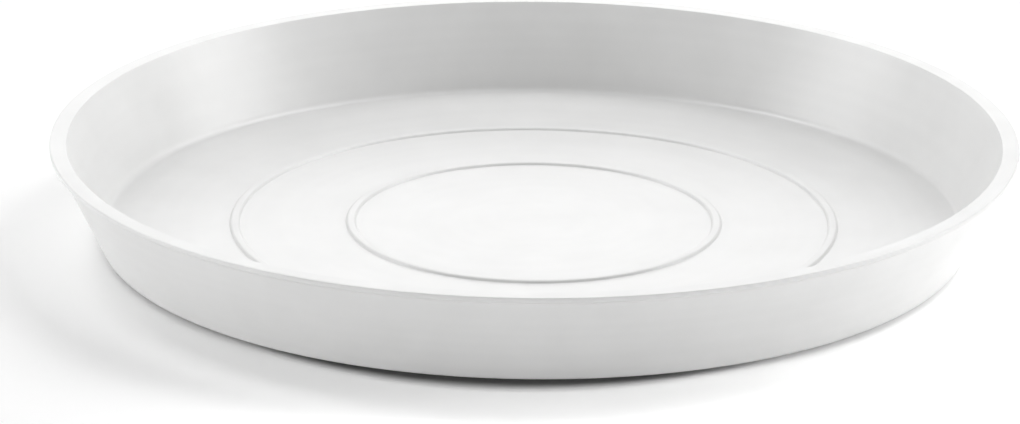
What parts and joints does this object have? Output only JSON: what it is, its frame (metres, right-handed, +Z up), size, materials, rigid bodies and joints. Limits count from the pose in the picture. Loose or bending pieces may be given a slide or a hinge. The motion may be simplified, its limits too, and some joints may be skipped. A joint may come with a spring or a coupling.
{
  "type": "plant saucer",
  "caption": "Round shallow dish with flared walls and a flat rim that stands under a plant pot and catches water.",
  "frame": {"origin": "centre of the foot ring, on the surface that the saucer stands on", "axes": "+Z up along the saucer's axis; X and Y are alike because the saucer is turned about Z"},
  "size_m": [0.3, 0.3, 0.0323],
  "materials": {
    "saucer_plastic": "white polypropylene, satin as moulded"
  },
  "bodies": {
    "root": {"saucer": "saucer_plastic"}
  },
  "joints": []
}
